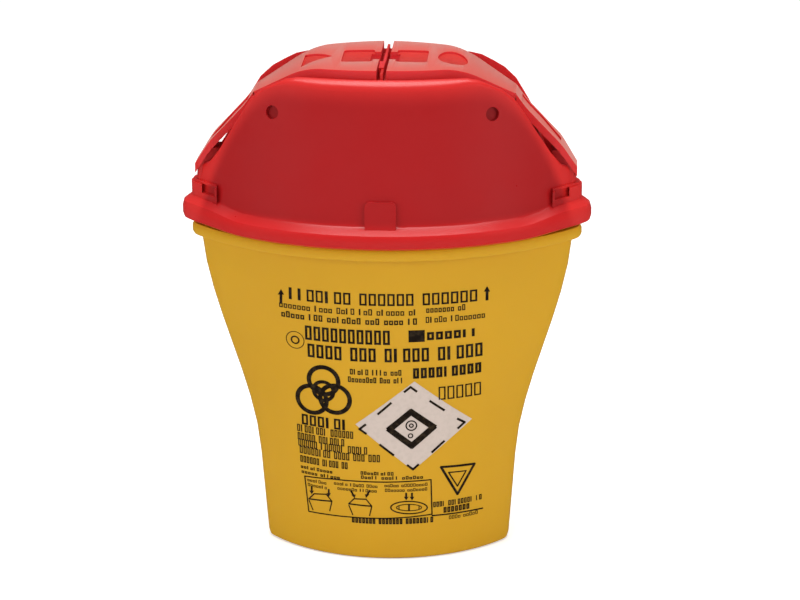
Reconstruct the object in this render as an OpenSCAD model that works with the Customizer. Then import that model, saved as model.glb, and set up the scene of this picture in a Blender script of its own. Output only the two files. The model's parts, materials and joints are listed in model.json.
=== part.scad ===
// Pocket sharps container: a flared tub, a snapped-on lid and two hinged flaps at its shoulders.
// The front faces -Y, +X is to the right, +Z is up. The origin is the middle of the base.

/* [Tub] */
// Half of the tub's width at the base
base_half_w = 40; // [37:0.5:43]
// Half of the tub's depth at the base
base_half_d = 21.5; // [19:0.5:24]
// Half of the tub's width at the neck, under the bead
neck_half_w = 60; // [57:0.5:62]
// Half of the tub's depth at the neck, under the bead
neck_half_d = 29.5; // [27:0.5:31]
// Height of the neck, where the bead starts
neck_z = 105; // [95:1:115]
// Height at which the sides start to flare
flare_z = 31; // [20:1:45]
// Widening of the sides below the flare, for each mm of height
side_taper = 0.075; // [0.04:0.005:0.1]
// Wall thickness of the tub
tub_wall = 1.4; // [1:0.1:2]
// Width of the foot round the recess under the base
foot_w = 2.4; // [1.5:0.1:3]
// Height of the recess under the base
foot_recess = 1.2; // [0.6:0.1:2]
// Radius of the plan outline's two ends at the base
base_end_r = 6; // [4:0.5:9]
// Radius of the plan outline's two ends at the neck
neck_end_r = 5.5; // [5:0.5:9]
// How far the bead under the lid stands out
bead_out = 3; // [2:0.1:3.5]
// Height of the bead
bead_h = 4; // [3:0.1:5]
// Height of the snap collar above the bead
collar_h = 5.4; // [5:0.1:6]
// How far the snap lip stands out of the collar
snap_out = 1.3; // [0.8:0.1:1.6]

/* [Lid] */
// How far the rolled rim stands out of the neck
rim_out = 6; // [5:0.1:7]
// Height of the rim, from its lower edge to the foot of the lid's wall
rim_h = 6.8; // [6.4:0.1:8]
// How far the rim's upper edge lies inside its outer face
cove_in = 4.2; // [3.5:0.1:4.5]
// Rise of the rim's upper edge at its two ends
end_rise = 2.4; // [1:0.1:3]
// Distance from the middle at which the rim's upper edge starts to rise
rise_x = 44; // [38:1:48]
// Radius of the rim's two ends in plan
rim_end_r = 9; // [8.5:0.5:11]
// Height of the lid above the neck, to the top edge of its walls
lid_h = 56.2; // [52:0.1:60]
// Wall thickness of the lid
lid_wall = 1.6; // [1.2:0.1:2]
// How far the lid's wall leans in at its two ends
lean_w = 4.3; // [3:0.1:5]
// How far the lid's front and back walls lean in
lean_d = 6.3; // [4:0.1:7]
// Half of the length of the flat part of the walls' top edge
flat_half_w = 29; // [26:0.5:32]
// Distance from the middle to the shoulder, where the edge turns down
shoulder_x = 40.5; // [39:0.5:41.5]
// Drop of the walls' edge from the flat part to the shoulder
shoulder_drop = 5.8; // [4:0.1:8]
// Further drop of the edge, over a short step, past the shoulder
step_drop = 5.2; // [3:0.1:6]
// Height of the rounding along the walls' top edge
edge_round = 3.4; // [2:0.1:4]
// Distance from the middle up to which that rounding keeps its full height
round_x = 18; // [10:1:22]
// Distance of the end stubs' outer edge inside the foot of the lid's wall
stub_in = 5.8; // [4.8:0.1:6.8]
// Height of the end stubs above the lid rim's top edge
stub_h = 12.7; // [11:0.1:14]
// Depth of the pockets under the straps
pocket_drop = 6; // [3:0.5:7]
// Half of the width of the opening under the flaps
mouth_half_w = 36; // [32:0.5:37]
// Half of the depth of the opening under the flaps
mouth_half_d = 15; // [12:0.5:16]
// Diameter of the round dimples in the front wall
dimple_d = 4.4; // [3:0.1:5]
// Depth of the round dimples
dimple_depth = 1.2; // [0.8:0.1:1.4]
// Distance of the round dimples from the middle
dimple_x = 34.5; // [30:0.5:38]
// Distance of the round dimples below the walls' top edge
dimple_drop = 11.3; // [10:0.1:15]
// Width of the raised pad over the rim at the front
pad_w = 9.8; // [7:0.1:14]
// Height of the raised pad
pad_h = 9.4; // [7:0.1:11]
// How far the pad reaches down over the rim
pad_low = 2.2; // [1:0.1:3]
// Height of the end ledges over the rim
ledge_h = 7.3; // [7:0.1:9]
// How far the end ledges stand out of the lid's wall
ledge_out = 1.1; // [0.8:0.1:1.6]
// Distance from the foot of the lid's wall back to where the end ledges start
ledge_in = 8.3; // [7:0.1:9.5]
// Width of the square notches in the end ledges
notch_w = 4.6; // [3:0.1:5]
// Height of the square notches
notch_h = 2.9; // [2.5:0.1:3.5]
// Width of the ribs round the square notches
notch_rib = 0.7; // [0.5:0.1:1]
// Thickness of the raised pad
pad_t = 1; // [0.6:0.1:1.2]
// Width of the bridge between the two halves of the opening
bridge_w = 4; // [3:0.1:6]
// Thickness of the fin on the bridge
fin_t = 0.8; // [0.6:0.1:1]
// Height of the fin above the floor under the flaps
fin_h = 3.2; // [2:0.1:3.6]
// Length of the catch on the fin
catch_len = 9; // [5:0.5:11]

/* [Flaps and straps] */
// Height of the flaps' flat top above the walls' top edge
flap_rise = 2.8; // [2:0.1:4]
// Height of the flaps at their skirts
flap_h = 4; // [3:0.1:5]
// Thickness of the flaps' top
flap_t = 1.8; // [1.5:0.1:2.2]
// Half of the depth of the two flaps where they meet
flap_half_d = 21.2; // [18:0.1:21.3]
// Distance from the middle at which the flaps' straight taper starts
taper_x = 25; // [15:0.5:30]
// Half of the gap between the two flaps
gap_half = 1.6; // [1.2:0.1:2.5]
// Distance from the middle to the shoulder hinge
hinge_x = 41.5; // [40:0.5:42]
// Drop of the flap from its flat top to the shoulder hinge
hinge_drop = 10.5; // [9:0.5:12]
// Width of the straps
strap_w = 13; // [10:0.5:14]
// Thickness of the straps
strap_t = 2; // [1.4:0.1:2.2]
// Width of the raised edges on the straps
strap_edge_w = 1.3; // [1:0.1:2]
// Height over the end stubs at which the straps bend down
strap_bend = 7.8; // [6:0.1:9]
// Depth of the straps between their raised edges
strap_groove = 0.6; // [0.3:0.1:0.7]
// How far the straps' lower ends stand out over the stubs
strap_overhang = 0.6; // [0.2:0.1:1]
// Length of the recess near the flap's inner end
recess_len = 9; // [6:0.5:10]
// Width of the recess near the flap's inner end
recess_w = 16.6; // [12:0.2:18]
// Length of the deeper pocket in the flap's inner end
window_len = 3; // [2:0.1:4]
// Width of the deeper pocket in the flap's inner end
window_w = 10.6; // [8:0.2:12]
// Depth of the deeper pocket in the flap's inner end
window_d = 1.3; // [1:0.1:1.4]
// Distance from the middle to the signs in the flaps' tops
sign_x = 21.5; // [19:0.5:23]
// Length of the signs, along the flap
sign_len = 9.5; // [7:0.5:11]
// Width of the signs, across the flap
sign_w = 17; // [12:0.5:18]
// Depth of the recess and of the signs in the flap's top
recess_d = 0.7; // [0.4:0.1:0.9]

/* [Fits] */
// Clearance between the lid and the tub
lid_clear = 0.3; // [0.2:0.05:0.4]
// Clearance round the flaps and straps
flap_clear = 0.6; // [0.4:0.1:0.8]
// Gap at a film hinge
film_gap = 0.3; // [0.2:0.05:0.4]

/* [Hidden] */
SIDE_N = 32;
END_N = 8;
WALL_N = 4;
DECK_N = 8;
TUB_N = 11;
STEP = 1.5;
edge_lip = 0.5;
rise_run = 14;
round_run = 20;
step_run = 3;
pocket_in = 9;
pocket_run = 5;
web_back = 2.8;
web_h = 5.3;
dip_run = 3.5;
dip = 4.8;
YELLOW = [0.86, 0.67, 0.15];
RED = [0.82, 0.13, 0.13];

rim_z = neck_z + bead_h + 0.5;
rim_top_z = rim_z + rim_h;
collar_z = neck_z + bead_h;
collar_top_z = collar_z + collar_h;
lid_top_z = neck_z + lid_h;
stub_z = rim_top_z + stub_h;
ledge_top_z = rim_top_z + ledge_h;
wall_foot_z = rim_top_z + 0.8;
wall_draft = atan(lean_d / (lid_top_z - wall_foot_z));
flap_top_z = lid_top_z + flap_rise;
hinge_z = flap_top_z - hinge_drop;
rim_half_w = neck_half_w + rim_out;
rim_half_d = neck_half_d + rim_out;
foot_half_w = rim_half_w - cove_in;
foot_half_d = rim_half_d - cove_in;
stub_x = foot_half_w - stub_in;
ledge_x = foot_half_w - ledge_in;
pocket_x = stub_x - pocket_in;
stub_half_w = foot_half_w - lean_w * (stub_z - wall_foot_z) / (lid_top_z - wall_foot_z);
strap_end_x = stub_half_w + strap_overhang;
hinge_run = 2.5 * flap_h;
strap_foot_w = 0.6 * strap_w;
strap_run = strap_end_x - hinge_x;
strap_fall = hinge_z - stub_z;
strap_tilt = atan2(strap_fall, strap_run);
strap_depth = strap_t / cos(strap_tilt);

// Smooth step from 0 to 1 as t goes from 0 to 1
function ease(t) = let (u = min(1, max(0, t))) u * u * (3 - 2 * u);
// Height or width read from a few corner points, with the corners rounded over +-w
function soft(x, points, w) =
    let (s = [for (k = [-3:3]) lookup(abs(x) + k * w / 3, points)])
    (s * [1, 1, 1, 1, 1, 1, 1]) / 7;
function mix(a, b, t) = a + (b - a) * t;
function sgn(v) = v < 0 ? -1 : 1;

// Plan outline: two large arcs joined by two small end arcs, half width a, half depth b, end radius r
function oval(a, b, r) =
    let (c = ((a - r) * (a - r) - (b - r) * (b - r)) / (2 * (b - r)),
         big = b + c,
         te = atan2(a - r, c),
         e = 90 - te)
    concat(
        [for (i = [0:END_N - 1]) let (t = -e + 2 * e * i / END_N) [a - r + r * cos(t), r * sin(t)]],
        [for (i = [0:SIDE_N - 1]) let (t = te - 2 * te * i / SIDE_N) [big * sin(t), big * cos(t) - c]],
        [for (i = [0:END_N - 1]) let (t = -e + 2 * e * i / END_N) [r - a - r * cos(t), -r * sin(t)]],
        [for (i = [0:SIDE_N - 1]) let (t = -te + 2 * te * i / SIDE_N) [big * sin(t), c - big * cos(t)]]
    );
function level(outline, z) = [for (p = outline) [p[0], p[1], z]];
function count() = 2 * (SIDE_N + END_N);

// Side faces between following rings of n points
function skin(n, from, to) = [
    for (k = from)
        for (i = [0:n - 1])
            let (a = k[0] * n + i, b = k[0] * n + (i + 1) % n, c = k[1] * n + (i + 1) % n, d = k[1] * n + i)
            each [[a, c, b], [a, d, c]]
];
module closed_loop(rings) {
    n = len(rings[0]);
    m = len(rings);
    polyhedron(points = [for (r = rings) each r], faces = skin(n, [for (k = [0:m - 1]) [k, (k + 1) % m]], n));
}
module capped(rings) {
    n = len(rings[0]);
    m = len(rings);
    polyhedron(
        points = [for (r = rings) each r],
        faces = concat(
            skin(n, [for (k = [0:m - 2]) [k, k + 1]], n),
            [[for (i = [0:n - 1]) i]],
            [[for (i = [n - 1:-1:0]) (m - 1) * n + i]]
        )
    );
}

// Tub: half width, depth and end radius at a height
function tub_w(z) =
    let (flare = neck_half_w - base_half_w - side_taper * neck_z)
    base_half_w + side_taper * min(z, neck_z) + flare * ease((z - flare_z) / (neck_z - flare_z));
function tub_share(z) = (tub_w(z) - base_half_w) / (neck_half_w - base_half_w);
function tub_ring(z, out) =
    let (s = tub_share(z), r = mix(base_end_r, neck_end_r, s) + out)
    level(oval(tub_w(z) + out, mix(base_half_d, neck_half_d, s) + out, max(1, r)), z);

module tub() {
    floor_z = foot_recess + tub_wall;
    zs = [for (k = [0:TUB_N]) mix(2, neck_z, k / TUB_N)];
    outer = concat(
        [level(tub_ring(0, -foot_w - 1.8), foot_recess)],
        [level(tub_ring(0, -foot_w - 1), 0)],
        [tub_ring(0, -1)],
        [level(tub_ring(0, -0.3), 0.5)],
        [for (z = zs) tub_ring(z, 0)]
    );
    bead = [for (p = [[0.86, 0.1], [1, 0.3], [1, 0.75], [0.8, 1], [0.1, 1]])
        level(tub_ring(neck_z, p[0] * bead_out), neck_z + p[1] * bead_h)];
    lip = [for (p = [[0, 0.6], [1, 0.7], [1, 0.85], [0.3, 1]])
        level(tub_ring(neck_z, p[0] * snap_out), collar_z + p[1] * collar_h)];
    inner = concat(
        [level(tub_ring(neck_z, -tub_wall), collar_top_z)],
        [for (k = [TUB_N:-2:1]) tub_ring(zs[k], -tub_wall)],
        [level(tub_ring(2, -tub_wall), floor_z + 2)],
        [level(tub_ring(2, -tub_wall - 1.6), floor_z)]
    );
    color(YELLOW) capped(concat(outer, bead, lip, inner));
}

// Lid: top edge of its walls, tops of the flaps, floor under them and half width of their channel
function edge_z(x) = soft(x, [
    [0, lid_top_z],
    [flat_half_w, lid_top_z],
    [shoulder_x, lid_top_z - shoulder_drop],
    [shoulder_x + step_run, lid_top_z - shoulder_drop - step_drop],
    [stub_x, stub_z],
    [2 * stub_x, stub_z]
], 2.5);
function flap_z(x) = soft(x, [
    [0, flap_top_z],
    [0.58 * hinge_x, flap_top_z - 0.5],
    [hinge_x, hinge_z],
    [hinge_x + 20, hinge_z - 12]
], 5);
// Half width of the flap: a parabola in the middle that runs into a straight taper down to the strap
function flap_y(x) =
    let (u = min(abs(x), hinge_x),
         q = (flap_half_d - strap_w / 2) / (2 * taper_x * hinge_x - taper_x * taper_x))
    u < taper_x ? flap_half_d - q * u * u : flap_half_d - q * taper_x * (2 * u - taper_x);
// Height of the flap's skirt, which gets low near the hinge so that the flap can turn
function skirt_h(x) =
    mix(flap_h, flap_t + 0.4, ease((abs(x) - hinge_x + hinge_run) / hinge_run));
// Top of the strap, which bends down at its lower end
function strap_z(x) = soft(x, [
    [hinge_x - 20, hinge_z + 26],
    [hinge_x, hinge_z],
    [hinge_x + dip_run, hinge_z - dip],
    [stub_x + 0.3, stub_z + strap_bend],
    [strap_end_x, stub_z],
    [strap_end_x + 10, stub_z - 15]
], 0.8);
// Floor of the channel, with a deeper pocket under each strap
function deck_z(x) =
    let (u = abs(x),
         roof = edge_z(u) - edge_lip,
         cover = min(flap_z(u) - flap_h - film_gap, strap_z(u) - strap_depth - 2 * film_gap))
    (u > stub_x ? roof : min(roof, cover)) - pocket_drop * ease((u - pocket_x) / pocket_run);
function wall_oval(z, inset) =
    let (s = (z - wall_foot_z) / (lid_top_z - wall_foot_z),
         a = foot_half_w - s * lean_w - inset,
         b = foot_half_d - s * lean_d - inset,
         r = neck_end_r - 0.5 - s - 0.5 * inset)
    oval(a, b, max(1, r));
// Foot of the wall, which rises at the two ends, and the rounding along its top edge
function rise(x) = end_rise * ease((abs(x) - rise_x) / rise_run);
function round_at(x) = mix(edge_round, 1, ease((abs(x) - round_x) / round_run));
// One ring of the lid's wall: each point has its own height, a share s of the way up to the edge
function wall_ring(s, inset) =
    [for (i = [0:count() - 1])
        let (p0 = wall_oval(mix(wall_foot_z, stub_z, s), inset)[i],
             p = wall_oval(wall_z(p0[0], s), inset)[i])
        [p[0], p[1], wall_z(p[0], s)]];
function wall_z(x, s) = mix(wall_foot_z + rise(x), edge_z(x) - round_at(x), s);
function crest_xy(p) =
    [p[0] * 0.985, sgn(p[1]) * max(0.8 * abs(p[1]), abs(p[1]) - 0.95 * round_at(p[0]))];

// A ring of the rim, a share of the rise higher at its two ends
function rim_ring(inset, z, up) =
    [for (p = oval(rim_half_w - inset, rim_half_d - inset, rim_end_r - inset))
        [p[0], p[1], z + up * rise(p[0])]];

module lid_shell() {
    wall_top = wall_ring(1, 0);
    crest = [for (p = wall_top) crest_xy(p)];
    mouth = oval(mouth_half_w, mouth_half_d, 4);
    inner_top = [for (p = wall_ring(1, lid_wall)) [p[0], p[1]]];
    rim = [for (p = [[0.38, 0, 0.36], [0.1, 0.11, 0.32], [0, 0.32, 0.3], [0, 0.58, 0.5],
                     [0.12, 0.72, 0.85], [0.52, 0.86, 1], [0.88, 0.97, 1], [0.97, 1.03, 1]])
        rim_ring(p[0] * cove_in, rim_z + p[1] * rim_h, p[2])];
    walls = [for (k = [0:WALL_N]) wall_ring(k / WALL_N, 0)];
    shoulder = [for (t = [30, 60, 90]) [for (i = [0:count() - 1])
        let (w = wall_top[i], c = crest[i], e = edge_z(c[0]))
        [mix(w[0], c[0], 1 - cos(t)), mix(w[1], c[1], 1 - cos(t)), mix(w[2], e, sin(t))]]];
    deck = [for (k = [0:DECK_N]) [for (i = [0:count() - 1])
        let (c = crest[i] * 0.99, x = mix(c[0], mouth[i][0], k / DECK_N))
        [x, mix(c[1], mouth[i][1], k / DECK_N), deck_z(x)]]];
    under = [for (k = [DECK_N:-1:0]) [for (i = [0:count() - 1])
        let (x = mix(inner_top[i][0], mouth[i][0], k / DECK_N))
        [x, mix(inner_top[i][1], mouth[i][1], k / DECK_N), deck_z(abs(x) + 1.3) - 1.3]]];
    inner = [for (k = [WALL_N - 1:-1:0]) [for (i = [0:count() - 1])
        let (top = under[DECK_N][i], z = mix(collar_top_z + lid_clear, top[2], k / WALL_N),
             p = wall_oval(max(z, wall_foot_z), lid_wall)[i])
        [p[0], p[1], z]]];
    grip = [for (p = [[snap_out + 2 * lid_clear, 1], [snap_out + 2 * lid_clear, 0.42],
                      [snap_out - 0.6, 0.25], [snap_out - 0.6, 0.08], [snap_out + 0.4, 0]])
        level(oval(neck_half_w + p[0], neck_half_d + p[0], neck_end_r + p[0]),
            mix(rim_z, collar_top_z + lid_clear, p[1]))];
    closed_loop(concat(rim, walls, shoulder, deck, under, inner, grip));
}

// Raised pad in the middle of the front wall, over the rim
module pad() {
    translate([0, -foot_half_d, wall_foot_z])
        rotate([90 - wall_draft, 0, 0])
            translate([0, pad_h / 2 - pad_low, -lid_wall / 2])
                linear_extrude(height = lid_wall / 2 + pad_t)
                    rounded([pad_w, pad_h], 1.5);
}
module rounded(size, r) {
    union() {
        square([size[0] - 2 * r, size[1]], center = true);
        square([size[0], size[1] - 2 * r], center = true);
        for (x = [-1, 1], y = [-1, 1])
            translate([x * (size[0] / 2 - r), y * (size[1] / 2 - r)])
                circle(r = r, $fn = 32);
    }
}

// Point on the outside of the lid's front wall, and the wall's direction there
function wall_y(x, z) =
    let (s = (z - wall_foot_z) / (lid_top_z - wall_foot_z),
         a = foot_half_w - s * lean_w,
         b = foot_half_d - s * lean_d,
         r = max(1, neck_end_r - 0.5 - s),
         c = ((a - r) * (a - r) - (b - r) * (b - r)) / (2 * (b - r)))
    sqrt((b + c) * (b + c) - x * x) - c;
function wall_turn(x, z) = atan2(wall_y(x - 0.5, z) - wall_y(x + 0.5, z), 1);

// Round dimple on the +X side of the front wall
module dimple() {
    z = lid_top_z - dimple_drop;
    translate([dimple_x, -wall_y(dimple_x, z), z])
        rotate([90 - wall_draft, 0, wall_turn(dimple_x, z)])
            translate([0, 0, -dimple_depth])
                cylinder(d = dimple_d, h = dimple_depth + lid_wall, $fn = 48);
}
// Ledge round the +X end, over the rim, with a square notch in its face at the front and at the back
module ledge() {
    face = cove_in - ledge_out;
    difference() {
        intersection() {
            union() {
                slab(face, rim_top_z, ledge_top_z - 0.8);
                slab(face + 0.7, rim_top_z, ledge_top_z);
            }
            translate([ledge_x, -rim_half_d, 0])
                cube([rim_half_w, 2 * rim_half_d, lid_top_z]);
        }
        slab(cove_in + 0.75 * lid_wall, 0, lid_top_z);
        translate([ledge_x + notch_rib, -rim_half_d, ledge_top_z - notch_rib - notch_h])
            cube([notch_w, 2 * rim_half_d, notch_h]);
    }
}
// Level slab with the rim's outline, inset all round
module slab(inset, z0, z1) {
    translate([0, 0, z0])
        linear_extrude(height = z1 - z0)
            polygon(oval(rim_half_w - inset, rim_half_d - inset, rim_end_r - inset));
}
// Bridge across the opening, with a thin fin that stands between the two flaps and a catch on it
module bridge() {
    floor_z = deck_z(0);
    reach = mouth_half_d + 0.8;
    translate([-bridge_w / 2, -reach, floor_z - 1.2])
        cube([bridge_w, 2 * reach, 1.1]);
    translate([-fin_t / 2, -flap_half_d, floor_z - 0.5])
        cube([fin_t, 2 * flap_half_d, fin_h + 0.5]);
    translate([-gap_half + flap_clear / 2, -mouth_half_d + 1, floor_z - 0.5])
        cube([gap_half, catch_len, fin_h + 0.9]);
}

// Strap on the +X side: a leaf with raised edges from the end stub up to the shoulder, free of the wall
module strap() {
    top_x = hinge_x + film_gap / 2;
    groove_w = strap_w - 2 * strap_edge_w;
    web_x = stub_x - web_back;
    web_z = stub_z + web_h;
    difference() {
        strap_slab(top_x, strap_end_x, 0, -strap_depth,
            [[0, strap_w], [stub_x, strap_w], [strap_end_x, strap_foot_w]]);
        strap_slab(hinge_x + 2, stub_x, 1, -strap_groove * strap_depth / strap_t,
            [[0, groove_w], [stub_x - 6, groove_w], [stub_x, strap_foot_w / 2]]);
    }
    side_prism(strap_foot_w, [
        [stub_half_w - 0.3, strap_z(stub_half_w) - 0.3],
        [stub_half_w - 0.7, stub_z - pocket_drop - 0.8],
        [web_x, deck_z(web_x) - 0.6],
        [web_x, web_z],
        [stub_x + 0.5, web_z],
        [stub_x + 1.2, strap_z(stub_x + 1.2) - 0.6]
    ]);
}
// Part of a slab that follows the strap's top, between two heights over it, with its widths along X
module strap_slab(x0, x1, up, down, widths) {
    xs = steps(x0, x1);
    intersection() {
        side_prism(2 * strap_w, concat(
            [for (x = xs) [x, strap_z(x) + up]],
            [for (k = [len(xs) - 1:-1:0]) [xs[k], strap_z(xs[k]) + down]]
        ));
        linear_extrude(height = 2 * lid_top_z)
            polygon(concat([for (w = widths) [w[0], -w[1] / 2]], [for (k = [len(widths) - 1:-1:0])
                [widths[k][0], widths[k][1] / 2]]));
    }
}
// Prism w wide across the middle, with its outline given in X and Z
module side_prism(w, outline) {
    rotate([90, 0, 0])
        linear_extrude(height = w, center = true)
            polygon(outline);
}

module lid() {
    color(RED) {
        difference() {
            union() {
                lid_shell();
                pad();
                bridge();
                for (m = [0, 1])
                    mirror([m, 0, 0]) {
                        strap();
                        ledge();
                    }
            }
            for (m = [0, 1])
                mirror([m, 0, 0]) dimple();
        }
    }
}

// Flap on the +X side, in place: a shallow cap with a skirt, a recess and a window at its inner end
module flap_body() {
    inner_x = gap_half;
    outer_x = hinge_x - film_gap / 2;
    recess_x = inner_x + window_len + recess_len / 2;
    difference() {
        intersection() {
            flap_side(inner_x, outer_x);
            plan_band(inner_x, outer_x, 0);
        }
        intersection() {
            side_band(inner_x + flap_t, outer_x - hinge_run, -flap_t, -flap_h - 1);
            plan_band(inner_x + flap_t, outer_x - hinge_run, flap_t);
        }
        sunk(recess_d)
            translate([recess_x - 0.5, 0])
                rounded([recess_len + 1, recess_w], 1.5);
        sunk(window_d)
            translate([inner_x + window_len / 2 - 0.5, 0])
                square([window_len + 1, window_w], center = true);
        sunk(recess_d)
            translate([sign_x, 0])
                children();
    }
}
// What lies less than d under the flap's top, within a plan shape
module sunk(d) {
    intersection() {
        side_band(0, hinge_x, 1, -d);
        linear_extrude(height = 2 * flap_top_z)
            children();
    }
}
// The flap's side outline from x0 to x1, down to the lower edge of its skirt
module flap_side(x0, x1) {
    xs = steps(x0, x1);
    side_prism(4 * flap_half_d, concat(
        [for (x = xs) [x, flap_z(x)]],
        [for (k = [len(xs) - 1:-1:0]) [xs[k], flap_z(xs[k]) - skirt_h(xs[k])]]
    ));
}
// Slab that follows the flap's top from x0 to x1, between two heights over it
module side_band(x0, x1, up, down) {
    xs = steps(x0, x1);
    side_prism(4 * flap_half_d, concat(
        [for (x = xs) [x, flap_z(x) + up]],
        [for (k = [len(xs) - 1:-1:0]) [xs[k], flap_z(xs[k]) + down]]
    ));
}
// Upright prism of the flap's plan outline from x0 to x1
module plan_band(x0, x1, inset) {
    xs = steps(x0, x1);
    linear_extrude(height = 2 * flap_top_z)
        polygon(concat(
            [for (x = xs) [x, flap_y(x) - inset]],
            [for (k = [len(xs) - 1:-1:0]) [xs[k], inset - flap_y(xs[k])]]
        ));
}
function steps(x0, x1) = let (n = ceil((x1 - x0) / STEP)) [for (k = [0:n]) mix(x0, x1, k / n)];

// Signs in the flaps' tops: a plain arrow that points to the middle, and a plain oval
module arrow() {
    tip = -sign_len / 2;
    wing = 0.15 * sign_w;
    polygon([[tip, 0], [tip / 2, wing], [-tip, sign_w / 2], [-tip, -sign_w / 2], [tip / 2, -wing]]);
}
module oval_sign() {
    polygon([for (t = [0:10:350]) [sign_len / 2 * cos(t), sign_w / 2 * sin(t)]]);
}
module right_flap() {
    color(RED) flap_body() oval_sign();
}
module left_flap() {
    color(RED) mirror([1, 0, 0]) flap_body() arrow();
}

tub();
lid();
left_flap();
right_flap();
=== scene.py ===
"""Pocket sharps container: finish, print, film hinges, floor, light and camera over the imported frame."""

import json
import math
import random

import bmesh
import bpy
from mathutils import Matrix, Vector
from mathutils.bvhtree import BVHTree


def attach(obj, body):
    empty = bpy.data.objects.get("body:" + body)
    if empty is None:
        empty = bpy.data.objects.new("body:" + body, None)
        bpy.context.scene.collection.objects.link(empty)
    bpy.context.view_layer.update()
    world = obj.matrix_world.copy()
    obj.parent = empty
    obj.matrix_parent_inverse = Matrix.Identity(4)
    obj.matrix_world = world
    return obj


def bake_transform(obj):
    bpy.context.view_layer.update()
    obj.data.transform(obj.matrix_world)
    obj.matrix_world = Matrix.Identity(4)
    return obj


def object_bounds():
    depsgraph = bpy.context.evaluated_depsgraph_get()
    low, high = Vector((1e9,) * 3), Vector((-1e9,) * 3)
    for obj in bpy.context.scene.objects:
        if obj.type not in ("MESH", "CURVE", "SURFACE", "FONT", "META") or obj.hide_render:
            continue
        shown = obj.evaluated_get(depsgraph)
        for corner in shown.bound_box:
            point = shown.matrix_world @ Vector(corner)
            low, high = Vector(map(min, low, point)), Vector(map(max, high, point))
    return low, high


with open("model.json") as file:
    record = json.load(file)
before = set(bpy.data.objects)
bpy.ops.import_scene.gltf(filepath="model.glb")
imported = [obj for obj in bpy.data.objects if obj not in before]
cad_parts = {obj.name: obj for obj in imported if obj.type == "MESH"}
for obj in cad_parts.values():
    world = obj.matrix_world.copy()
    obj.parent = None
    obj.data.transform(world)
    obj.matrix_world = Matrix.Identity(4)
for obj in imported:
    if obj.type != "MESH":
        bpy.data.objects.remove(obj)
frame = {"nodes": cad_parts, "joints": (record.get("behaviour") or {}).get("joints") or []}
CAD_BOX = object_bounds()

MM = 0.001

# The photograph's frame and the camera that saw it
IMAGE_W, IMAGE_H = 800, 600
FOCAL_PX = 2800
SENSOR_MM = 36
CAMERA_AT = Vector((0.053, -0.867, 0.3645))
AIM_AT = Vector((0, 0, 0.0824))
AIM_PX = (387, 300)
ROLL = math.radians(-0.4)
CLIP_START = 0.05

# Rays that look for a surface start outside the part, a metre away
RAY_FROM = 1
DOWN = Vector((0, 0, -1))
BACKWARD = Vector((0, 1, 0))

# Colours, linear
YELLOW = (0.67, 0.36, 0.007)
YELLOW_DEEP = (0.61, 0.315, 0.005)
RED = (0.395, 0.008, 0.0095)
RED_DEEP = (0.37, 0.007, 0.0085)
# Painted light: the lid's rim gets a lighter red than its wall, for the light that falls on it; the sunk
# floors drift to the same red
RIM_LIT_RED = (0.55, 0.0085, 0.009)
# Painted shade: a dark red inside the dimples, as if they were deep holes
DIMPLE_SHADE_RED = (0.2, 0.004, 0.006)
FLAP_RED = (0.54, 0.055, 0.04)
FLAP_SUNK = (0.6, 0.06, 0.042)
WINDOW_RED = (0.47, 0.006, 0.01)
# Painted light: a brighter red on thin parts of the lid and on the flaps' skirts, which lie in shade
THIN_LIT_RED = (0.64, 0.034, 0.036)
THIN_LIT_DEEP = (0.6, 0.026, 0.029)
# Painted highlight along the lid's top edge: a lighter red in place of the shine on its rounded shoulder
CREST_HIGHLIGHT_RED = (0.62, 0.02, 0.018)
UNDER_RED = (0.45, 0.016, 0.016)
SHEEN_TINT = (1, 0.85, 0.75)
INK = (0.012, 0.007, 0.004)
INK_WORN = (0.05, 0.032, 0.015)
PALE_INK = (0.6, 0.5, 0.44)
PALE_WORN = (0.55, 0.46, 0.4)
FLOOR = (0.86, 0.86, 0.86)
FLOOR_IN_GLOSS = (0.06, 0.06, 0.06)
WHITE = (1, 1, 1)

# Noise in the materials: scale, per metre, and detail
DRIFT = (22, 3)
PATCHES = (90, 4)
GRAIN = (2600, 3)
WAVES = (160, 1)
WEAR = (700, 4)

# Plastic: how far gloss varies, the grain's part of the relief, sheen, and light under the surface
GLOSS_SPREAD = 0.06
GRAIN_SHARE = 0.12
RELIEF_DEPTH = 0.15 * MM
PLASTIC_IOR = 1.49
SHEEN_ROUGHNESS = 0.4
SEE_DEPTH = 1.5 * MM
SEE_RADIUS = (1.0, 0.45, 0.2)

# Ink: the noise between which it goes from fresh to worn, and its finish
WEAR_FROM, WEAR_TO = 0.45, 0.75
INK_ROUGHNESS = 0.5
INK_SPECULAR = 0.15

# Colour, deeper colour, roughness, relief, specular level, subsurface and sheen of each plastic
PLASTICS = {
    "yellow_plastic_gloss": (YELLOW, YELLOW_DEEP, 0.4, 0.12, 0.4, 0.12, 0.0),
    "red_plastic_gloss": (RED, RED_DEEP, 0.3, 0.14, 0.5, 0.08, 0.0),
    "red_plastic_sunk": (FLAP_SUNK, RIM_LIT_RED, 0.35, 0.1, 0.4, 0.3, 0.0),
    "red_plastic_window": (WINDOW_RED, RED_DEEP, 0.3, 0.1, 0.3, 0.0, 0.0),
    "red_plastic_thin_lit": (THIN_LIT_RED, THIN_LIT_DEEP, 0.6, 0.1, 0.2, 0.3, 0.0),
    "red_plastic_under": (UNDER_RED, RED_DEEP, 0.35, 0.1, 0.4, 0.1, 0.0),
    "red_plastic_satin": (FLAP_RED, FLAP_SUNK, 0.5, 0.35, 0.6, 0.3, 0.4),
    "red_plastic_dimple_shade": (DIMPLE_SHADE_RED, RED_DEEP, 0.4, 0.1, 0.3, 0.0, 0.0),
}

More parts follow.
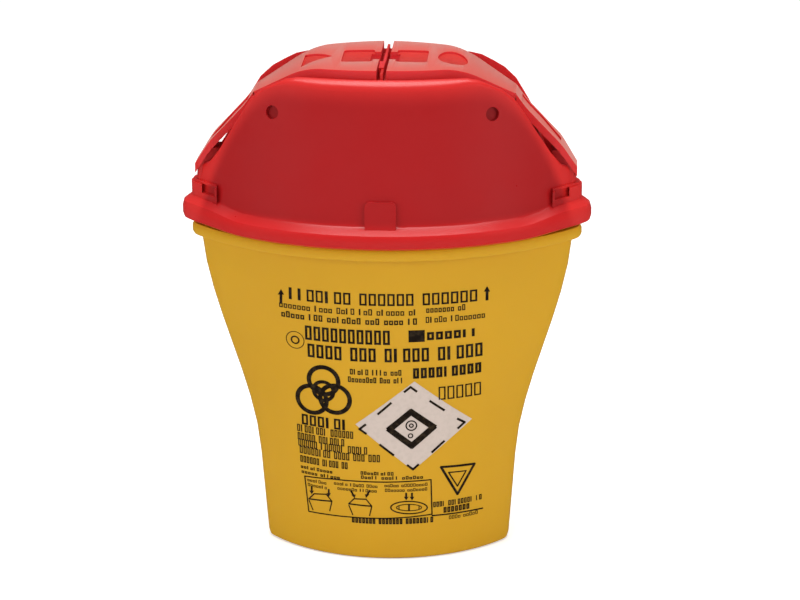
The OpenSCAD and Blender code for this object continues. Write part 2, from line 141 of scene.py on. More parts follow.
# Edges of the CAD nodes: corners to weld, the angle that stays sharp, and the flaps' rounding
WELD_WITHIN = 0.02 * MM
SHARP_EDGE = math.radians(32)
FLAP_EDGE = 0.25 * MM
EDGE_SEGMENTS = 2

# Flaps: least upward slope of a top, the line beside the sunk signs, and how deep the sunk floors lie
TOP_SLOPE = 0.5
BESIDE_SIGNS = 9.2 * MM
SUNK_BY = 0.3 * MM
WINDOW_BY = 1 * MM

# Lid: heights between which the painted light at the rim and the painted highlight along the top edge come
# in, and how the edge falls away
RIM_LIGHT_LEVEL = (118.5 * MM, 114.5 * MM)
CREST_HIGHLIGHT_LEVEL = (153 * MM, 161.5 * MM)
CREST_HIGHLIGHT_HALF = 30 * MM
CREST_HIGHLIGHT_FALL = 0.05 / MM

# Lid: where the straps, the stubs at their feet, the fin and the thin walls are, out from the middle and
# up, for the painted light on thin parts and the straps' satin
STRAP_FROM = 41.6 * MM
STRAP_HALF_W = 6.6 * MM
STRAP_LOW = 128 * MM
STRAP_SLOPE = 0.3
THIN_LIT_ABOVE = 118 * MM
THIN_LIT_STRAP_ABOVE = 124 * MM
STUB_FROM = 56 * MM
STUB_TOP = 129.5 * MM
FIN_HALF = 3.5 * MM
FIN_HALF_W = 12 * MM
FIN_ABOVE = 140 * MM
OFF_FACE = 0.1 * MM

# Dimples: middle of the right one as X and Z, and a radius that takes in its edge, for their painted shade
DIMPLE_AT = (34.5 * MM, 149.9 * MM)
DIMPLE_R = 2.25 * MM

# Film hinges: a web's size, how far it stands out of the surfaces beside it, its cut upper edges, how far
# from the axis it is level with it, how far from the axis it bends, and the steps along it
FILM_HALF = 0.75 * MM
FILM_HALF_WIDTH = 6.1 * MM
FILM_THICK = 0.3 * MM
FILM_PROUD = 0.05 * MM
FILM_EDGE = 0.3 * FILM_THICK
FILM_LEVEL = 0.4 * FILM_HALF
FILM_STEPS = 8

# Floor, world and lamps
FLOOR_HALF = 3
FLOOR_BELOW = 0.2 * MM
FLOOR_ROUGHNESS = 0.9
FLOOR_SPECULAR = 0.1
FLOOR_GLOW = 0.42
WORLD_LEVEL = 0.45
ROOM_LEVEL = 0.1
LAMP_AIM = Vector((0, 0, 0.08))
# Name, place, width and height, power, and whether it shows in gloss
LAMPS = (
    ("top", (-0.03, -0.05, 1.05), (0.7, 0.8), 9.0, True),
    ("left", (-1.0, -0.75, 0.45), (0.6, 0.8), 4.5, False),
    ("right", (1.0, -0.75, 0.45), (0.6, 0.8), 5.5, False),
)

# Print: how far it stands out, and the grid that cuts it so that it follows the curved wall
PRINT_RAISE = 0.06 * MM
GRID_X = 2 * MM
GRID_Z = 4 * MM

# Letters: their kinds, the share of each kind, and sizes as shares of the pitch, width or height
PRINT_SEED = 11
KINDS = ("box", "low", "block")
BIG_SHARES = (85, 0, 15)
SMALL_SHARES = (20, 65, 15)
LETTER_SHARE = 0.78
BLOCK_SHARE = 0.42
LOW_SHARE = 0.72
SPACE_SHARE = 0.75
FIRST_WORD = (4, 8)
LATER_WORDS = (3, 8)
LAST_LETTERS = 3

# Rows of print: first and last pixel, pixel height of the middle, letter height, pitch and line in mm
BIG_ROWS = [
    (289, 484, 300, 4.1, 2.9, 0.6),
    (305.2, 391.7, 336.5, 5.0, 2.9, 0.75),
    (427, 480.7, 334.3, 2.8, 2.6, 0.8),
    (307.8, 482.2, 355.5, 4.8, 2.9, 0.75),
    (413, 482.9, 371.2, 3.7, 2.6, 0.8),
    (438.6, 482.9, 391, 4.7, 2.8, 0.45),
    (302, 350.4, 422.8, 3.8, 2.7, 0.65),
    (297.4, 355, 432.3, 2.6, 1.25, 0.36),
    (297.9, 346, 440, 2.6, 1.3, 0.36),
    (298.6, 366, 447.8, 2.6, 1.35, 0.36),
    (300, 379.7, 455.9, 2.6, 1.35, 0.36),
    (300.5, 350, 463, 2.4, 1.15, 0.34),
    (433.2, 483.8, 501.2, 1.9, 1.0, 0.32),
    (443.5, 470.1, 508, 2.0, 1.15, 0.42),
    (352, 435.7, 521.4, 2.0, 1.15, 0.4),
]
SMALL_ROWS = [
    (279.5, 419.6, 311.5, 2.1, 1.5, 0.34),
    (426.2, 467.2, 308.6, 2.1, 1.25, 0.34),
    (281.7, 419.3, 320.8, 2.2, 1.6, 0.42),
    (425.7, 487, 317.8, 2.1, 1.35, 0.32),
    (349.9, 404.2, 372.7, 2.0, 1.25, 0.34),
    (348, 406.4, 380.4, 2.0, 1.15, 0.34),
    (301, 333, 469.4, 1.2, 1.15, 0.3),
    (301.8, 341.4, 475, 1.2, 1.15, 0.3),
    (360.6, 394.2, 473.6, 1.2, 1.15, 0.3),
    (361, 422, 478, 1.2, 1.15, 0.3),
    (448.9, 479, 514.8, 1.3, 1.0, 0.2),
    (307.5, 327, 481.5, 1.1, 1.0, 0.2),
    (308, 327.5, 486.2, 1.1, 1.0, 0.2),
    (334, 379.5, 485.3, 1.1, 0.95, 0.2),
    (337.5, 378, 490, 1.1, 0.95, 0.2),
    (384.5, 428.8, 485.3, 1.1, 0.95, 0.2),
    (385, 428.5, 490, 1.1, 0.95, 0.2),
]

# Shapes of print. Lines have points in pixels, a width in mm and, where they close, True at the end.
# Rings have a middle in pixels, an outer and an inner radius in mm.
STROKE_OVERRUN = 0.6
RING_STEPS = 36
LENS_STEPS = 24
UP_ARROWS = ((281, 295.5), (487, 292.5))
UP_SHAFT = (((0, 7), (0, -2)), 0.9)
UP_HEAD = ((-3.2, -1), (3.2, -1), (0, -6.5))
SOLID_BLOCK = ((408.6, 342.3), (424.7, 329.9))
ROUND_MARK = ((295.2, 339.8, 3.1, 2.85), (295.2, 339.8, 1.5, 1.0))
TRIANGLES = (
    (((441, 467), (474.5, 463.5), (457.5, 494)), 0.8, True),
    (((448.6, 472.4), (466, 470.6), (457.4, 486)), 0.45, True),
)
UNDERLINE = ((((432, 515.5), (446, 514.2), (465, 511.4), (482.6, 508)), 0.5),)

# Emblem: middle, how far the hub and the rings lie below it, and the rings' spread, all in pixels
EMBLEM_AT = (323.5, 390.5)
HUB_DROP = 0.5
RINGS_DROP = 2.5
RINGS_SPREAD = (13.216, 12.32)
RINGS_TURNS = (90, 210, 330)
HUB_RADII = (3.9, 2.7)
RINGS_RADII = (5.6, 4.1)

# Picture table: its frame, the trays and the lens with their places, and the small arrows
TABLE_FRAME = ((
    ((304.9, 476), (331.6, 478.9), (360, 481.3), (387.3, 482.1), (410, 481.3), (431, 479.6), (432, 514.1),
     (410, 517), (387, 518.3), (365, 517.9), (343, 516.3), (325, 514), (308.9, 511.2)), 0.42, True),)
TRAYS = ((320.5, 493.7), (360.3, 498.7))
TRAY = (
    (((-11.5, 5), (-6.3, 0), (5.8, 0.5), (11.5, 7.5)), 0.42),
    (((-11.5, 5), (11.5, 7.5)), 0.5),
    (((-11.3, 6.5), (-7.5, 16)), 0.38),
    (((11.3, 8.5), (9.3, 17)), 0.38),
)
LENS_AT = (409, 507.5)
LENS_RINGS = ((18.3, 6.2, 0.42), (12.6, 3.2, 0.3))
LENS_TICKS = (
    (((0, -2.5), (0, 2.5)), 0.6),
    (((-10, -2), (-10, 2)), 0.3),
    (((10, -2), (10, 2)), 0.3),
)
# Place of each small arrow and how far its tip leans; then its shape in pixels and its line in mm
DOWN_ARROWS = ((311.8, 491, 0), (328.8, 493.5, 0), (353.5, 495, 1.2), (367.2, 494.7, -1.2),
               (406.2, 497.2, 0), (412, 497.2, 0))
DOWN_TAIL, DOWN_BACK, DOWN_TIP = -4, -0.5, 3.2
DOWN_HALF = 2.3
DOWN_LINE = 0.6

# Pale lozenge and the marks on it
LOZENGE = ((355.4, 424.2), (413, 470.2), (471.9, 418.6), (414.4, 381.4))
LOZENGE_LINES = (
    (((389.5, 429.3), (411, 411.8), (433.4, 426.8), (411.7, 445.6)), 2.1, True),
    (((378, 414), (391, 403)), 0.75),
    (((430, 401), (444, 410)), 0.75),
    (((432, 452), (444, 441)), 0.75),
    (((380, 444.7), (393.5, 455)), 0.75),
    (((365.5, 424.5), (359.5, 429), (366, 433.5)), 0.75),
    (((404.5, 391.8), (410.5, 387), (416.5, 391.3)), 0.75),
    (((457.5, 418.6), (464.5, 422), (458, 428)), 0.75),
    (((407.5, 465.2), (413, 469.2), (418.3, 464.5)), 0.75),
)
LOZENGE_RINGS = ((411.3, 425.5, 1.9, 1.45), (411.3, 425.5, 0.8, 0.4), (410.5, 435.7, 0.9, 0.5))


# Objects and meshes


def add_object(name, data):
    """Puts a new object into the scene."""
    obj = bpy.data.objects.new(name, data)
    bpy.context.scene.collection.objects.link(obj)
    return obj


def link(name, mesh, mat, body):
    """Puts a visible piece into the scene, in one material and riding on a body."""
    mesh.materials.append(mat)
    obj = add_object(name, mesh)
    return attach(obj, body)


def mesh_from(bm, name):
    """Turns what was built into a mesh."""
    mesh = bpy.data.meshes.new(name)
    bm.to_mesh(mesh)
    bm.free()
    return mesh


def node_tree(node):
    """Search tree of a CAD node's faces, for rays."""
    mesh = frame["nodes"][node].data
    places = [v.co.copy() for v in mesh.vertices]
    return BVHTree.FromPolygons(places, [tuple(p.vertices) for p in mesh.polygons])


def look_down(tree, x, y):
    """Place, normal, face and distance of the highest surface under a place."""
    return tree.ray_cast(Vector((x, y, RAY_FROM)), DOWN)


# Smoothing of the CAD nodes


def smooth_group():
    """Geometry nodes that shade smooth below a sharp angle."""
    group = bpy.data.node_groups.new("smooth", "GeometryNodeTree")
    group.interface.new_socket("Geometry", in_out="INPUT", socket_type="NodeSocketGeometry")
    group.interface.new_socket("Geometry", in_out="OUTPUT", socket_type="NodeSocketGeometry")
    nodes, links = group.nodes, group.links
    entry = nodes.new("NodeGroupInput")
    leave = nodes.new("NodeGroupOutput")
    faces = nodes.new("GeometryNodeSetShadeSmooth")
    faces.domain = "FACE"
    edges = nodes.new("GeometryNodeSetShadeSmooth")
    edges.domain = "EDGE"
    edges.inputs["Shade Smooth"].default_value = False
    angle = nodes.new("GeometryNodeInputMeshEdgeAngle")
    sharp = nodes.new("FunctionNodeCompare")
    sharp.data_type = "FLOAT"
    sharp.operation = "GREATER_THAN"
    sharp.inputs["B"].default_value = SHARP_EDGE
    links.new(entry.outputs[0], faces.inputs["Geometry"])
    links.new(faces.outputs[0], edges.inputs["Geometry"])
    links.new(angle.outputs["Unsigned Angle"], sharp.inputs["A"])
    links.new(sharp.outputs[0], edges.inputs["Selection"])
    links.new(edges.outputs[0], leave.inputs[0])
    return group


def soften(node, group, bevel=0):
    """Welds a CAD node's split corners and shades it smooth, with rounded edges or else evened normals."""
    obj = frame["nodes"][node]
    mesh = obj.data
    if mesh.has_custom_normals:
        with bpy.context.temp_override(object=obj, active_object=obj, mesh=mesh):
            bpy.ops.mesh.customdata_custom_splitnormals_clear()
    weld = obj.modifiers.new("weld", "WELD")
    weld.merge_threshold = WELD_WITHIN
    if bevel:
        edge = obj.modifiers.new("edge", "BEVEL")
        edge.width = bevel
        edge.segments = EDGE_SEGMENTS
        edge.limit_method = "ANGLE"
        edge.angle_limit = SHARP_EDGE
    nodes = obj.modifiers.new("smooth", "NODES")
    nodes.node_group = group
    if not bevel:
        even = obj.modifiers.new("even", "WEIGHTED_NORMAL")
        even.keep_sharp = True


# Materials


def opaque(colour):
    """Colour with its alpha."""
    return (*colour, 1)


def new_material(name):
    """New material with its nodes, its links and its shader."""
    mat = bpy.data.materials.new(name)
    mat.use_nodes = True
    nodes = mat.node_tree.nodes
    return mat, nodes, mat.node_tree.links, nodes["Principled BSDF"]


def feed(links, socket, value):
    """Puts a value or another node's output into a socket."""
    if isinstance(value, bpy.types.NodeSocket):
        links.new(value, socket)
    else:
        socket.default_value = value


def noise(nodes, links, coords, scale, detail):
    """Noise over the piece's own coordinates."""
    texture = nodes.new("ShaderNodeTexNoise")
    texture.inputs["Scale"].default_value = scale
    texture.inputs["Detail"].default_value = detail
    links.new(coords, texture.inputs["Vector"])
    return texture.outputs["Fac"]


def number(nodes, links, operation, *values):
    """One step of arithmetic; each value is a number or a socket."""
    step = nodes.new("ShaderNodeMath")
    step.operation = operation
    for socket, value in zip(step.inputs, values):
        feed(links, socket, value)
    return step.outputs[0]


def mixed(nodes, links, kind, factor, first, second):
    """FLOAT or RGBA that goes from first to second with factor; each is a value or a socket."""
    mix = nodes.new("ShaderNodeMix")
    mix.data_type = kind
    links.new(factor, mix.inputs["Factor"])
    feed(links, mix.inputs["A"], first)
    feed(links, mix.inputs["B"], second)
    return mix.outputs["Result"]


def ranged(nodes, links, value, from_ends=(0, 1), to_ends=(0, 1), curve="LINEAR"):
    """Carries a value from one pair of ends to another and holds it beyond them."""
    step = nodes.new("ShaderNodeMapRange")
    step.interpolation_type = curve
    for key, end in zip(("From Min", "From Max", "To Min", "To Max"), (*from_ends, *to_ends)):
        step.inputs[key].default_value = end
    links.new(value, step.inputs["Value"])
    return step.outputs["Result"]


def lid_painted_light(nodes, links, coords, tone):
    """Paints light on the lid: a lighter red at its rim, and a painted highlight along the wall's top edge.
    """
    place = nodes.new("ShaderNodeSeparateXYZ")
    links.new(coords, place.inputs["Vector"])
    rim = ranged(nodes, links, place.outputs["Z"], RIM_LIGHT_LEVEL, curve="SMOOTHSTEP")
    tone = mixed(nodes, links, "RGBA", rim, tone, opaque(RIM_LIT_RED))
    out = number(nodes, links, "ABSOLUTE", place.outputs["X"])
    out = number(nodes, links, "SUBTRACT", out, CREST_HIGHLIGHT_HALF)
    out = number(nodes, links, "MAXIMUM", out, 0.0)
    out = number(nodes, links, "MULTIPLY", out, out)
    fall = number(nodes, links, "MULTIPLY", out, CREST_HIGHLIGHT_FALL)
    level = number(nodes, links, "ADD", place.outputs["Z"], fall)
    crest_highlight = ranged(nodes, links, level, CREST_HIGHLIGHT_LEVEL, curve="SMOOTHSTEP")
    return mixed(nodes, links, "RGBA", crest_highlight, tone, opaque(CREST_HIGHLIGHT_RED))


def plastic(name, with_painted_light=False):
    """Moulded plastic: slow colour drift, uneven gloss, a fine moulded texture and, if asked, the lid's
    painted light at its rim and top edge.
    """
    light, deep, rough, bump, specular, see, sheen = PLASTICS[name]
    mat, nodes, links, shader = new_material(name)
    coords = nodes.new("ShaderNodeTexCoord").outputs["Object"]
    drift = noise(nodes, links, coords, *DRIFT)
    tone = mixed(nodes, links, "RGBA", drift, opaque(light), opaque(deep))
    if with_painted_light:
        tone = lid_painted_light(nodes, links, coords, tone)
    links.new(tone, shader.inputs["Base Color"])
    patches = noise(nodes, links, coords, *PATCHES)
    gloss = ranged(nodes, links, patches, to_ends=(rough - GLOSS_SPREAD, rough + GLOSS_SPREAD))
    links.new(gloss, shader.inputs["Roughness"])
    grain = noise(nodes, links, coords, *GRAIN)
    waves = noise(nodes, links, coords, *WAVES)
    relief = nodes.new("ShaderNodeBump")
    relief.inputs["Strength"].default_value = bump
    relief.inputs["Distance"].default_value = RELIEF_DEPTH
    height = number(nodes, links, "MULTIPLY_ADD", grain, GRAIN_SHARE, waves)
    links.new(height, relief.inputs["Height"])
    links.new(relief.outputs["Normal"], shader.inputs["Normal"])
    shader.inputs["IOR"].default_value = PLASTIC_IOR
    shader.inputs["Specular IOR Level"].default_value = specular
    shader.inputs["Sheen Weight"].default_value = sheen
    shader.inputs["Sheen Roughness"].default_value = SHEEN_ROUGHNESS
    shader.inputs["Sheen Tint"].default_value = opaque(SHEEN_TINT)
    if see:
        shader.inputs["Subsurface Weight"].default_value = see
        shader.inputs["Subsurface Scale"].default_value = SEE_DEPTH
        shader.inputs["Subsurface Radius"].default_value = SEE_RADIUS
    return mat


def ink(name, colour, worn):
    """Printed ink: nearly matt, a little thinner in places."""
    mat, nodes, links, shader = new_material(name)
    coords = nodes.new("ShaderNodeTexCoord").outputs["Object"]
    wear = ranged(nodes, links, noise(nodes, links, coords, *WEAR), (WEAR_FROM, WEAR_TO))
    tone = mixed(nodes, links, "RGBA", wear, opaque(colour), opaque(worn))
    links.new(tone, shader.inputs["Base Color"])
    shader.inputs["Roughness"].default_value = INK_ROUGHNESS
    shader.inputs["Specular IOR Level"].default_value = INK_SPECULAR
    return mat


def floor_material():
    """White for the camera, dim where the part reflects it."""
    mat, nodes, links, shader = new_material("floor")
    rays = nodes.new("ShaderNodeLightPath")
    tone = mixed(nodes, links, "RGBA", rays.outputs["Is Glossy Ray"], opaque(FLOOR), opaque(FLOOR_IN_GLOSS))
    links.new(tone, shader.inputs["Base Color"])
    glow = number(nodes, links, "MULTIPLY", rays.outputs["Is Camera Ray"], FLOOR_GLOW)
    links.new(glow, shader.inputs["Emission Strength"])
    shader.inputs["Emission Color"].default_value = opaque(WHITE)
    shader.inputs["Roughness"].default_value = FLOOR_ROUGHNESS
    shader.inputs["Specular IOR Level"].default_value = FLOOR_SPECULAR
    return mat


# Materials on the CAD nodes


def add_slot(mesh, mat):
    """Adds a material to a mesh and returns its number there."""
    mesh.materials.append(mat)
    return len(mesh.materials) - 1


def repaint(node, mat):
    """Gives a whole CAD node one material."""
    slots = frame["nodes"][node].data.materials
    for k in range(len(slots)):
        slots[k] = mat


def paint_flap(node, thin, under, sunk, window):
    """Gives the flap's skirt a brighter red as painted light, and its underside, its sunk floors and its
    window their own materials.
    """
    mesh = frame["nodes"][node].data
    tree = node_tree(node)
    slots = [add_slot(mesh, mat) for mat in (thin, under, sunk, window)]
    lit_skirt_slot, under_slot, sunk_slot, window_slot = slots
    for face in mesh.polygons:
        if face.normal.z < TOP_SLOPE:
            face.material_index = under_slot if face.normal.z < -TOP_SLOPE else lit_skirt_slot
            continue
        top = look_down(tree, face.center.x, BESIDE_SIGNS)[0]
        if top and face.center.z < top.z - WINDOW_BY:
            face.material_index = window_slot
        elif top and face.center.z < top.z - SUNK_BY:
            face.material_index = sunk_slot


def walled_in(tree, face):
    """True where the lid's walls stand both before and behind a face."""
    place = face.center + face.normal * OFF_FACE
    return all(tree.ray_cast(place, way)[0] for way in (BACKWARD, -BACKWARD))


def on_strap(x, y):
    """True over one of the two straps, which belong to the lid."""
    return abs(x) > STRAP_FROM and abs(y) < STRAP_HALF_W


def paint_thin_lit(mat):
    """Paints light on the lid's thin parts that lie in shade, as a brighter red: inner walls, channel,
    straps and fin.
    """
    mesh = frame["nodes"]["lid"].data
    tree = node_tree("lid")
    slot = add_slot(mesh, mat)
    for face in mesh.polygons:
        x, y, z = face.center
        strap = on_strap(x, y) and z > THIN_LIT_STRAP_ABOVE
        stub = abs(x) > STUB_FROM and z < STUB_TOP
        fin = abs(x) < FIN_HALF and abs(y) < FIN_HALF_W and z > FIN_ABOVE
        if z > THIN_LIT_ABOVE and not stub and (strap or fin or walled_in(tree, face)):
            face.material_index = slot


def paint_straps(mat):
    """Gives the straps' tops the flaps' satin finish."""
    mesh = frame["nodes"]["lid"].data
    tree = node_tree("lid")
    slot = add_slot(mesh, mat)
    for face in mesh.polygons:
        x, y, z = face.center
        if on_strap(x, y) and z > STRAP_LOW and face.normal.z > STRAP_SLOPE:
            if look_down(tree, x, y)[2] == face.index:
                face.material_index = slot


def paint_dimple_shade(mat):
    """Paints shade inside the two round dimples in the front wall, as a darker red."""
    mesh = frame["nodes"]["lid"].data
    slot = add_slot(mesh, mat)
    for face in mesh.polygons:
        x, y, z = face.center
        if y < 0 and math.hypot(abs(x) - DIMPLE_AT[0], z - DIMPLE_AT[1]) < DIMPLE_R:
            face.material_index = slot


# Camera


def camera_turn():
    """The camera's rotation, with its slight roll."""
    aim = (AIM_AT - CAMERA_AT).to_track_quat("-Z", "Y")
    return aim.to_matrix() @ Matrix.Rotation(ROLL, 3, "Z")


def add_camera():
    """Camera that sees the part as the photograph does."""
    data = bpy.data.cameras.new("camera")
    data.sensor_width = SENSOR_MM
    data.lens = FOCAL_PX / IMAGE_W * SENSOR_MM
    data.shift_x = (IMAGE_W / 2 - AIM_PX[0]) / IMAGE_W
    data.shift_y = (AIM_PX[1] - IMAGE_H / 2) / IMAGE_W
    data.clip_start = CLIP_START
    cam = add_object("camera", data)
    cam.matrix_world = Matrix.Translation(CAMERA_AT) @ camera_turn().to_4x4()
    bpy.context.scene.camera = cam


# Print on the front of the tub: plain boxes, lines and rings, laid on the CAD surface


def seen_at(px, py):
    """Place on the tub's front, as X and Z, that the camera sees at a pixel of the photograph."""
    ray = Vector(((px - AIM_PX[0]) / FOCAL_PX, (AIM_PX[1] - py) / FOCAL_PX, -1))
    hit, _, _, _ = TUB.ray_cast(CAMERA_AT, (camera_turn() @ ray).normalized())
    return hit.x, hit.z


def lay(name, polygons, mat, raise_by=PRINT_RAISE):
    """Lays flat polygons, given in X and Z, on the tub's front as one thin piece."""
    bm = bmesh.new()
    for points in polygons:
        bm.faces.new([bm.verts.new((x, 0, z)) for x, z in points])
    for step, axis in ((GRID_X, 0), (GRID_Z, 2)):
        values = [v.co[axis] for v in bm.verts]
        for k in range(math.ceil(min(values) / step), math.floor(max(values) / step) + 1):
            place = Vector((0, 0, 0))
            place[axis] = k * step
            normal = Vector((axis == 0, 0, axis == 2))
            whole = bm.verts[:] + bm.edges[:] + bm.faces[:]
            bmesh.ops.bisect_plane(bm, geom=whole, plane_co=place, plane_no=normal)
    for v in bm.verts:
        hit, normal, _, _ = TUB.ray_cast(Vector((v.co.x, -RAY_FROM, v.co.z)), BACKWARD)
        v.co = hit + normal * raise_by
    bmesh.ops.recalc_face_normals(bm, faces=bm.faces[:])
    for face in bm.faces:
        if face.normal.y > 0:
            face.normal_flip()
        face.smooth = True
    link(name, mesh_from(bm, name), mat, "container")


def letter(x, z, wide, tall, line, kind):
    """Stands in for one letter: a hollow box, a lower hollow box or a narrow solid block."""
    if kind == "block":
        right = x + BLOCK_SHARE * wide
        return [[(x, z), (right, z), (right, z + tall), (x, z + tall)]]
    top = z + (LOW_SHARE * tall if kind == "low" else tall)
    sides = [(x, x + line, z, top), (x + wide - line, x + wide, z, top),
             (x + line, x + wide - line, z, z + line), (x + line, x + wide - line, top - line, top)]
    return [[(a, c), (b, c), (b, d), (a, d)] for a, b, c, d in sides]


def words(row, shares, picks):
    """Groups of plain boxes and blocks along one row of the print."""
    px0, px1, py, tall, pitch, line = row
    x0 = seen_at(px0, py)[0]
    x1 = seen_at(px1, py)[0]
    z = seen_at((px0 + px1) / 2, py)[1] - tall * MM / 2
    step = (x1 - x0) / max(round((x1 - x0) / (pitch * MM)), 1)
    shapes = []
    x, left = x0, picks.randint(*FIRST_WORD)
    while x < x1 - step / 2:
        kind = picks.choices(KINDS, shares)[0]
        shapes += letter(x, z, LETTER_SHARE * step, tall * MM, line * MM, kind)
        x += step
        left -= 1
        if left <= 0 and x < x1 - LAST_LETTERS * step:
            x += SPACE_SHARE * step
            left = picks.randint(*LATER_WORDS)
    return shapes


def stroke(points, width, closed=False):
    """Quads along a line of pixel points, width in mm."""
    places = [Vector(seen_at(*p)) for p in points]
    if closed:
        places.append(places[0])
    quads = []
    for a, b in zip(places, places[1:]):
        along = (b - a).normalized() * width * MM / 2
        side = Vector((-along.y, along.x))
        first, last = a - along * STROKE_OVERRUN, b + along * STROKE_OVERRUN
        quads.append([tuple(p) for p in (first - side, last - side, last + side, first + side)])
    return quads


def strokes(lines, px=0, py=0):
    """Quads of several lines, whose points count from a pixel."""
    quads = []
    for points, *style in lines:
        quads += stroke([(px + x, py + y) for x, y in points], *style)
    return quads


def circle(count):
    """Cosine and sine of evenly spaced turns."""
    turns = [2 * math.pi * k / count for k in range(count)]
    return [(math.cos(t), math.sin(t)) for t in turns]


def ring(px, py, outer, inner):
    """Ring of quads round a pixel, outer and inner radius in mm."""
    x, z = seen_at(px, py)
    rim = circle(RING_STEPS)
    quads = []
    for (c0, s0), (c1, s1) in zip(rim, rim[1:] + rim[:1]):
        quads.append([(x + c * r * MM, z + s * r * MM)
                      for c, s, r in ((c0, s0, inner), (c0, s0, outer), (c1, s1, outer), (c1, s1, inner))])
    return quads


def rings(rows):
    """Quads of several rings."""
    return [quad for row in rows for quad in ring(*row)]


def up_arrow(px, py):
    """A plain arrow that points up."""
    return strokes([UP_SHAFT], px, py) + [[seen_at(px + x, py + y) for x, y in UP_HEAD]]


def down_arrow(px, py, lean):
    """A small arrow that points down; its tip leans to one side and its tail twice as far to the other."""
    head = ((-DOWN_HALF, DOWN_BACK), (lean, DOWN_TIP), (DOWN_HALF, DOWN_BACK))
    shaft = stroke([(px - 2 * lean, py + DOWN_TAIL), (px, py)], DOWN_LINE)
    return shaft + [[seen_at(px + x, py + y) for x, y in head]]


def lens(px, py, wide, tall, line):
    """A lens as an oval line."""
    return stroke([(px + wide * c, py + tall * s) for c, s in circle(LENS_STEPS)], line, True)


def picture_table():
    """Plain little shapes in a frame: two open trays and a lens, with arrows over them."""
    parts = strokes(TABLE_FRAME)
    for place in TRAYS:
        parts += strokes(TRAY, *place)
    for oval in LENS_RINGS:
        parts += lens(*LENS_AT, *oval)
    parts += strokes(LENS_TICKS, *LENS_AT)
    for arrow in DOWN_ARROWS:
        parts += down_arrow(*arrow)
    return parts


def emblem(px, py):
    """Three plain rings round a smaller one, in place of the printed symbol."""
    parts = ring(px, py + HUB_DROP, *HUB_RADII)
    for turn in RINGS_TURNS:
        across = RINGS_SPREAD[0] * math.cos(math.radians(turn))
        up = RINGS_SPREAD[1] * math.sin(math.radians(turn))
        parts += ring(px + across, py + RINGS_DROP - up, *RINGS_RADII)
    return parts


def add_print():
    """The dark print, the pale lozenge and the dark marks on the lozenge."""
    picks = random.Random(PRINT_SEED)
    dark = []
    for rows, shares in ((BIG_ROWS, BIG_SHARES), (SMALL_ROWS, SMALL_SHARES)):
        for row in rows:
            dark += words(row, shares, picks)
    for place in UP_ARROWS:
        dark += up_arrow(*place)
    (x0, z0), (x1, z1) = [seen_at(*corner) for corner in SOLID_BLOCK]
    dark.append([(x0, z0), (x1, z0), (x1, z1), (x0, z1)])
    dark += rings(ROUND_MARK) + emblem(*EMBLEM_AT) + strokes(TRIANGLES)
    dark += picture_table() + strokes(UNDERLINE)
    lay("tub_print", dark, INK_MAT)
    lay("pale_lozenge", [[seen_at(*corner) for corner in LOZENGE]], PALE_MAT)
    lay("lozenge_marks", strokes(LOZENGE_LINES) + rings(LOZENGE_RINGS), INK_MAT, 2 * PRINT_RAISE)


# Film hinges at the shoulders: a thin web over the gap between each flap and its strap


def top_at(trees, x, y):
    """Height of the highest surface under a place."""
    hits = [look_down(tree, x, y)[0] for tree in trees]
    return max(hit.z for hit in hits if hit)


def film_section(x, top):
    """Points across a web: flat underneath, with its two upper edges cut off."""
    half = [(FILM_HALF_WIDTH, top - FILM_THICK), (FILM_HALF_WIDTH, top - FILM_EDGE),
            (FILM_HALF_WIDTH - FILM_EDGE, top)]
    return [(x, -y, z) for y, z in half] + [(x, y, z) for y, z in reversed(half)]


def add_film(flap, side):
    """Closes the gap at one hinge with a fixed web, at the height of the hinge's axis in its middle and of
    the surfaces beside it further out.
    """
    joint = next(j for j in frame["joints"] if j["child"] == flap)
    axis_x, axis_z = abs(joint["pos_m"][0]), joint["pos_m"][2]
    trees = [node_tree(flap), node_tree("lid")]
    bm = bmesh.new()
    rows = []
    for k in range(FILM_STEPS + 1):
        x = axis_x + FILM_HALF * (2 * k / FILM_STEPS - 1)
        away = min(abs(x - axis_x) / FILM_LEVEL, 1)
        top = away * top_at(trees, side * x, 0) + (1 - away) * axis_z + FILM_PROUD
        rows.append([bm.verts.new(point) for point in film_section(side * x, top)])
    for a, b in zip(rows, rows[1:]):
        for k in range(len(a)):
            bm.faces.new((a[k - 1], b[k - 1], b[k], a[k]))
    bm.faces.new(rows[0])
    bm.faces.new(rows[-1][::-1])
    bmesh.ops.recalc_face_normals(bm, faces=bm.faces[:])
    mesh = mesh_from(bm, flap + "_film")
    mesh.materials.append(SATIN_MAT)
    obj = add_object(flap + "_film", mesh)
    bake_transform(obj)


# Floor, light and world


def add_floor():
    """Floor that the part stands on."""
    low = CAD_BOX[0].z - FLOOR_BELOW
    bm = bmesh.new()
    corners = ((-1, -1), (1, -1), (1, 1), (-1, 1))
    bm.faces.new([bm.verts.new((FLOOR_HALF * x, FLOOR_HALF * y, low)) for x, y in corners])
    mesh = mesh_from(bm, "floor")
    mesh.materials.append(floor_material())
    floor = add_object("floor", mesh)


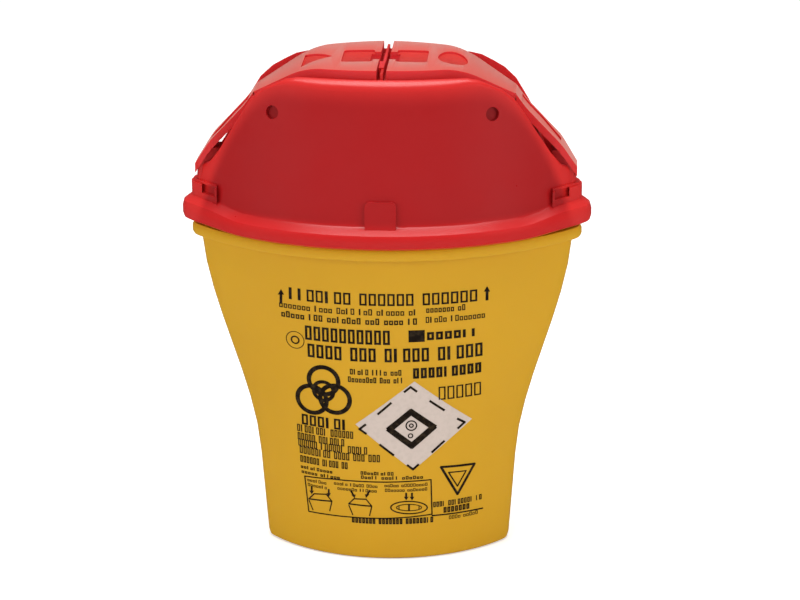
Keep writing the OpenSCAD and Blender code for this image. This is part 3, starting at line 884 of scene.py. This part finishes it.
def add_world():
    """White to the camera, soft and even for diffuse light, a dim room to reflections."""
    world = bpy.data.worlds.new("studio")
    bpy.context.scene.world = world
    world.use_nodes = True
    nodes, links = world.node_tree.nodes, world.node_tree.links
    rays = nodes.new("ShaderNodeLightPath")
    soft = mixed(nodes, links, "FLOAT", rays.outputs["Is Glossy Ray"], WORLD_LEVEL, ROOM_LEVEL)
    level = mixed(nodes, links, "FLOAT", rays.outputs["Is Camera Ray"], soft, 1.0)
    links.new(level, nodes["Background"].inputs["Strength"])
    nodes["Background"].inputs["Color"].default_value = opaque(WHITE)


def add_lamp(name, place, size, power, shines):
    """Soft rectangular lamp turned to the part."""
    data = bpy.data.lights.new(name, "AREA")
    data.shape = "RECTANGLE"
    data.size, data.size_y = size
    data.energy = power
    lamp = add_object(name, data)
    lamp.location = place
    lamp.visible_glossy = shines
    lamp.rotation_euler = (LAMP_AIM - Vector(place)).to_track_quat("-Z", "Y").to_euler()


# Everything, in order

INK_MAT = ink("print_ink", INK, INK_WORN)
PALE_MAT = ink("pale_ink", PALE_INK, PALE_WORN)
SUNK_MAT = plastic("red_plastic_sunk")
WINDOW_MAT = plastic("red_plastic_window")
THIN_LIT_MAT = plastic("red_plastic_thin_lit")
UNDER_MAT = plastic("red_plastic_under")
SATIN_MAT = plastic("red_plastic_satin")

SMOOTH = smooth_group()
for node in ("tub", "lid"):
    soften(node, SMOOTH)
repaint("tub", plastic("yellow_plastic_gloss"))
repaint("lid", plastic("red_plastic_gloss", with_painted_light=True))
for node in ("left_flap", "right_flap"):
    soften(node, SMOOTH, FLAP_EDGE)
    repaint(node, SATIN_MAT)
    paint_flap(node, THIN_LIT_MAT, UNDER_MAT, SUNK_MAT, WINDOW_MAT)
paint_thin_lit(THIN_LIT_MAT)
paint_straps(SATIN_MAT)
paint_dimple_shade(plastic("red_plastic_dimple_shade"))

TUB = node_tree("tub")
add_camera()
add_print()
add_film("left_flap", -1)
add_film("right_flap", 1)
add_floor()
add_world()
for lamp in LAMPS:
    add_lamp(*lamp)

bpy.context.scene.view_settings.view_transform = "Standard"
